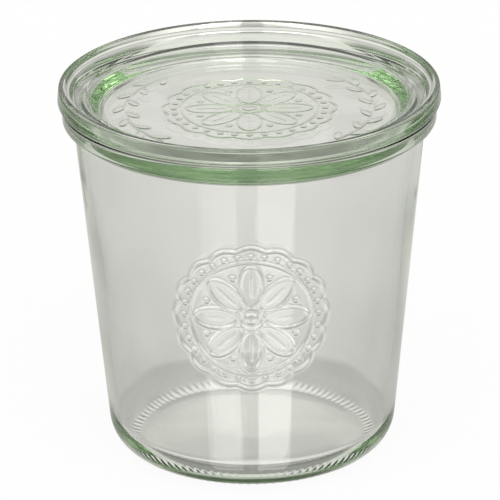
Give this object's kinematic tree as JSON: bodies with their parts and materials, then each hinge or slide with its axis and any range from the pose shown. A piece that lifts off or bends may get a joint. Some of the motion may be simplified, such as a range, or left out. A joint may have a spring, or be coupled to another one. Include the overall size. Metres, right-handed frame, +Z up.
{
  "type": "canning jar",
  "caption": "Tapered clear glass preserving jar with a rolled rim, rounded heel and a loose recessed glass lid that lifts off.",
  "frame": {"origin": "centre of the base, on the plane the jar stands on", "axes": "+Z up along the axis that both turned pieces share, -Y out through the side of the jar that carries the moulded medallion"},
  "size_m": [0.108, 0.108, 0.1089],
  "materials": {
    "jar_glass": "fire-polished",
    "lid_glass": "fire-polished"
  },
  "bodies": {
    "jar": {"jar": "jar_glass"},
    "lid": {"lid": "lid_glass"}
  },
  "joints": [
    {"name": "lid_lift", "type": "slide", "parent": "jar", "child": "lid", "axis": [0, 0, 1], "range_m": [0, 0.06]}
  ]
}
